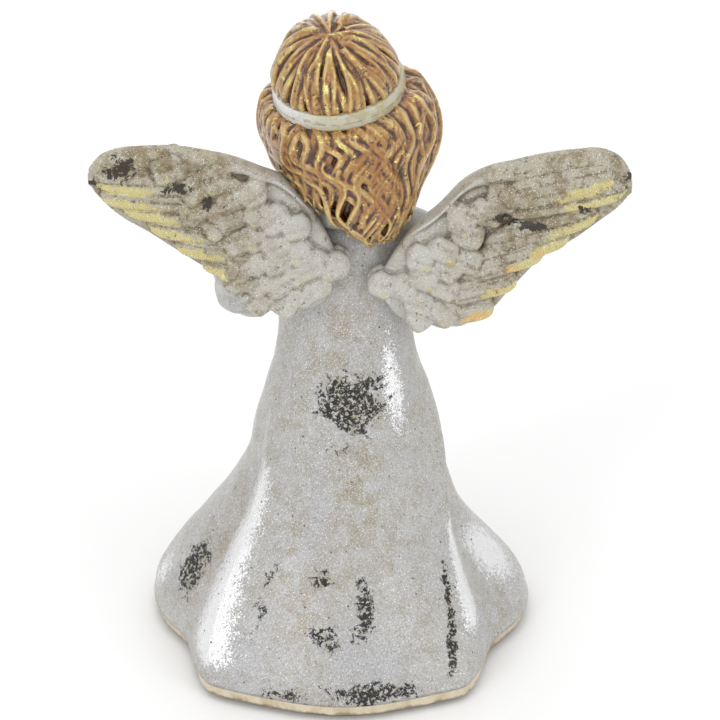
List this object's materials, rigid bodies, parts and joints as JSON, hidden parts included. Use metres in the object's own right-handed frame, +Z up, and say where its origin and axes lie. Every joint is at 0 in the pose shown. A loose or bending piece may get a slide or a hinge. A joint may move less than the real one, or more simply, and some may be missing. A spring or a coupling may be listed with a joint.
{
  "type": "angel figurine",
  "caption": "Free-standing resin angel in a long flared robe, with spread wings, wavy hair, a headband and praying hands, in distressed pearl and gold leaf.",
  "frame": {"origin": "on the table plane, under the middle of the robe", "axes": "+Z up; the figure faces -Y, its wings are at +Y, and its own left side is at +X"},
  "size_m": [0.0969, 0.0745, 0.1241],
  "materials": {
    "robe_resin": "satin",
    "wing_resin": "satin",
    "hair_resin": "gloss",
    "ribbon_resin": "satin",
    "skin_resin": "satin",
    "base_resin": "matte",
    "dowel_resin": "matte",
    "felt": "matte",
    "pin_steel": "satin"
  },
  "bodies": {
    "root": {"robe": "robe_resin", "base_plate": "base_resin", "felt_pad": "felt", "collar": "robe_resin", "left_sleeve": "robe_resin", "right_sleeve": "robe_resin", "left_hand": "skin_resin", "right_hand": "skin_resin", "head": "skin_resin", "hair": "hair_resin", "headband": "ribbon_resin", "left_wing": "wing_resin", "right_wing": "wing_resin", "neck_dowel": "pin_steel", "left_wing_pin_upper": "pin_steel", "left_wing_pin_lower": "pin_steel", "right_wing_pin_upper": "pin_steel", "right_wing_pin_lower": "pin_steel", "left_arm_dowel": "dowel_resin", "right_arm_dowel": "dowel_resin"}
  },
  "joints": []
}
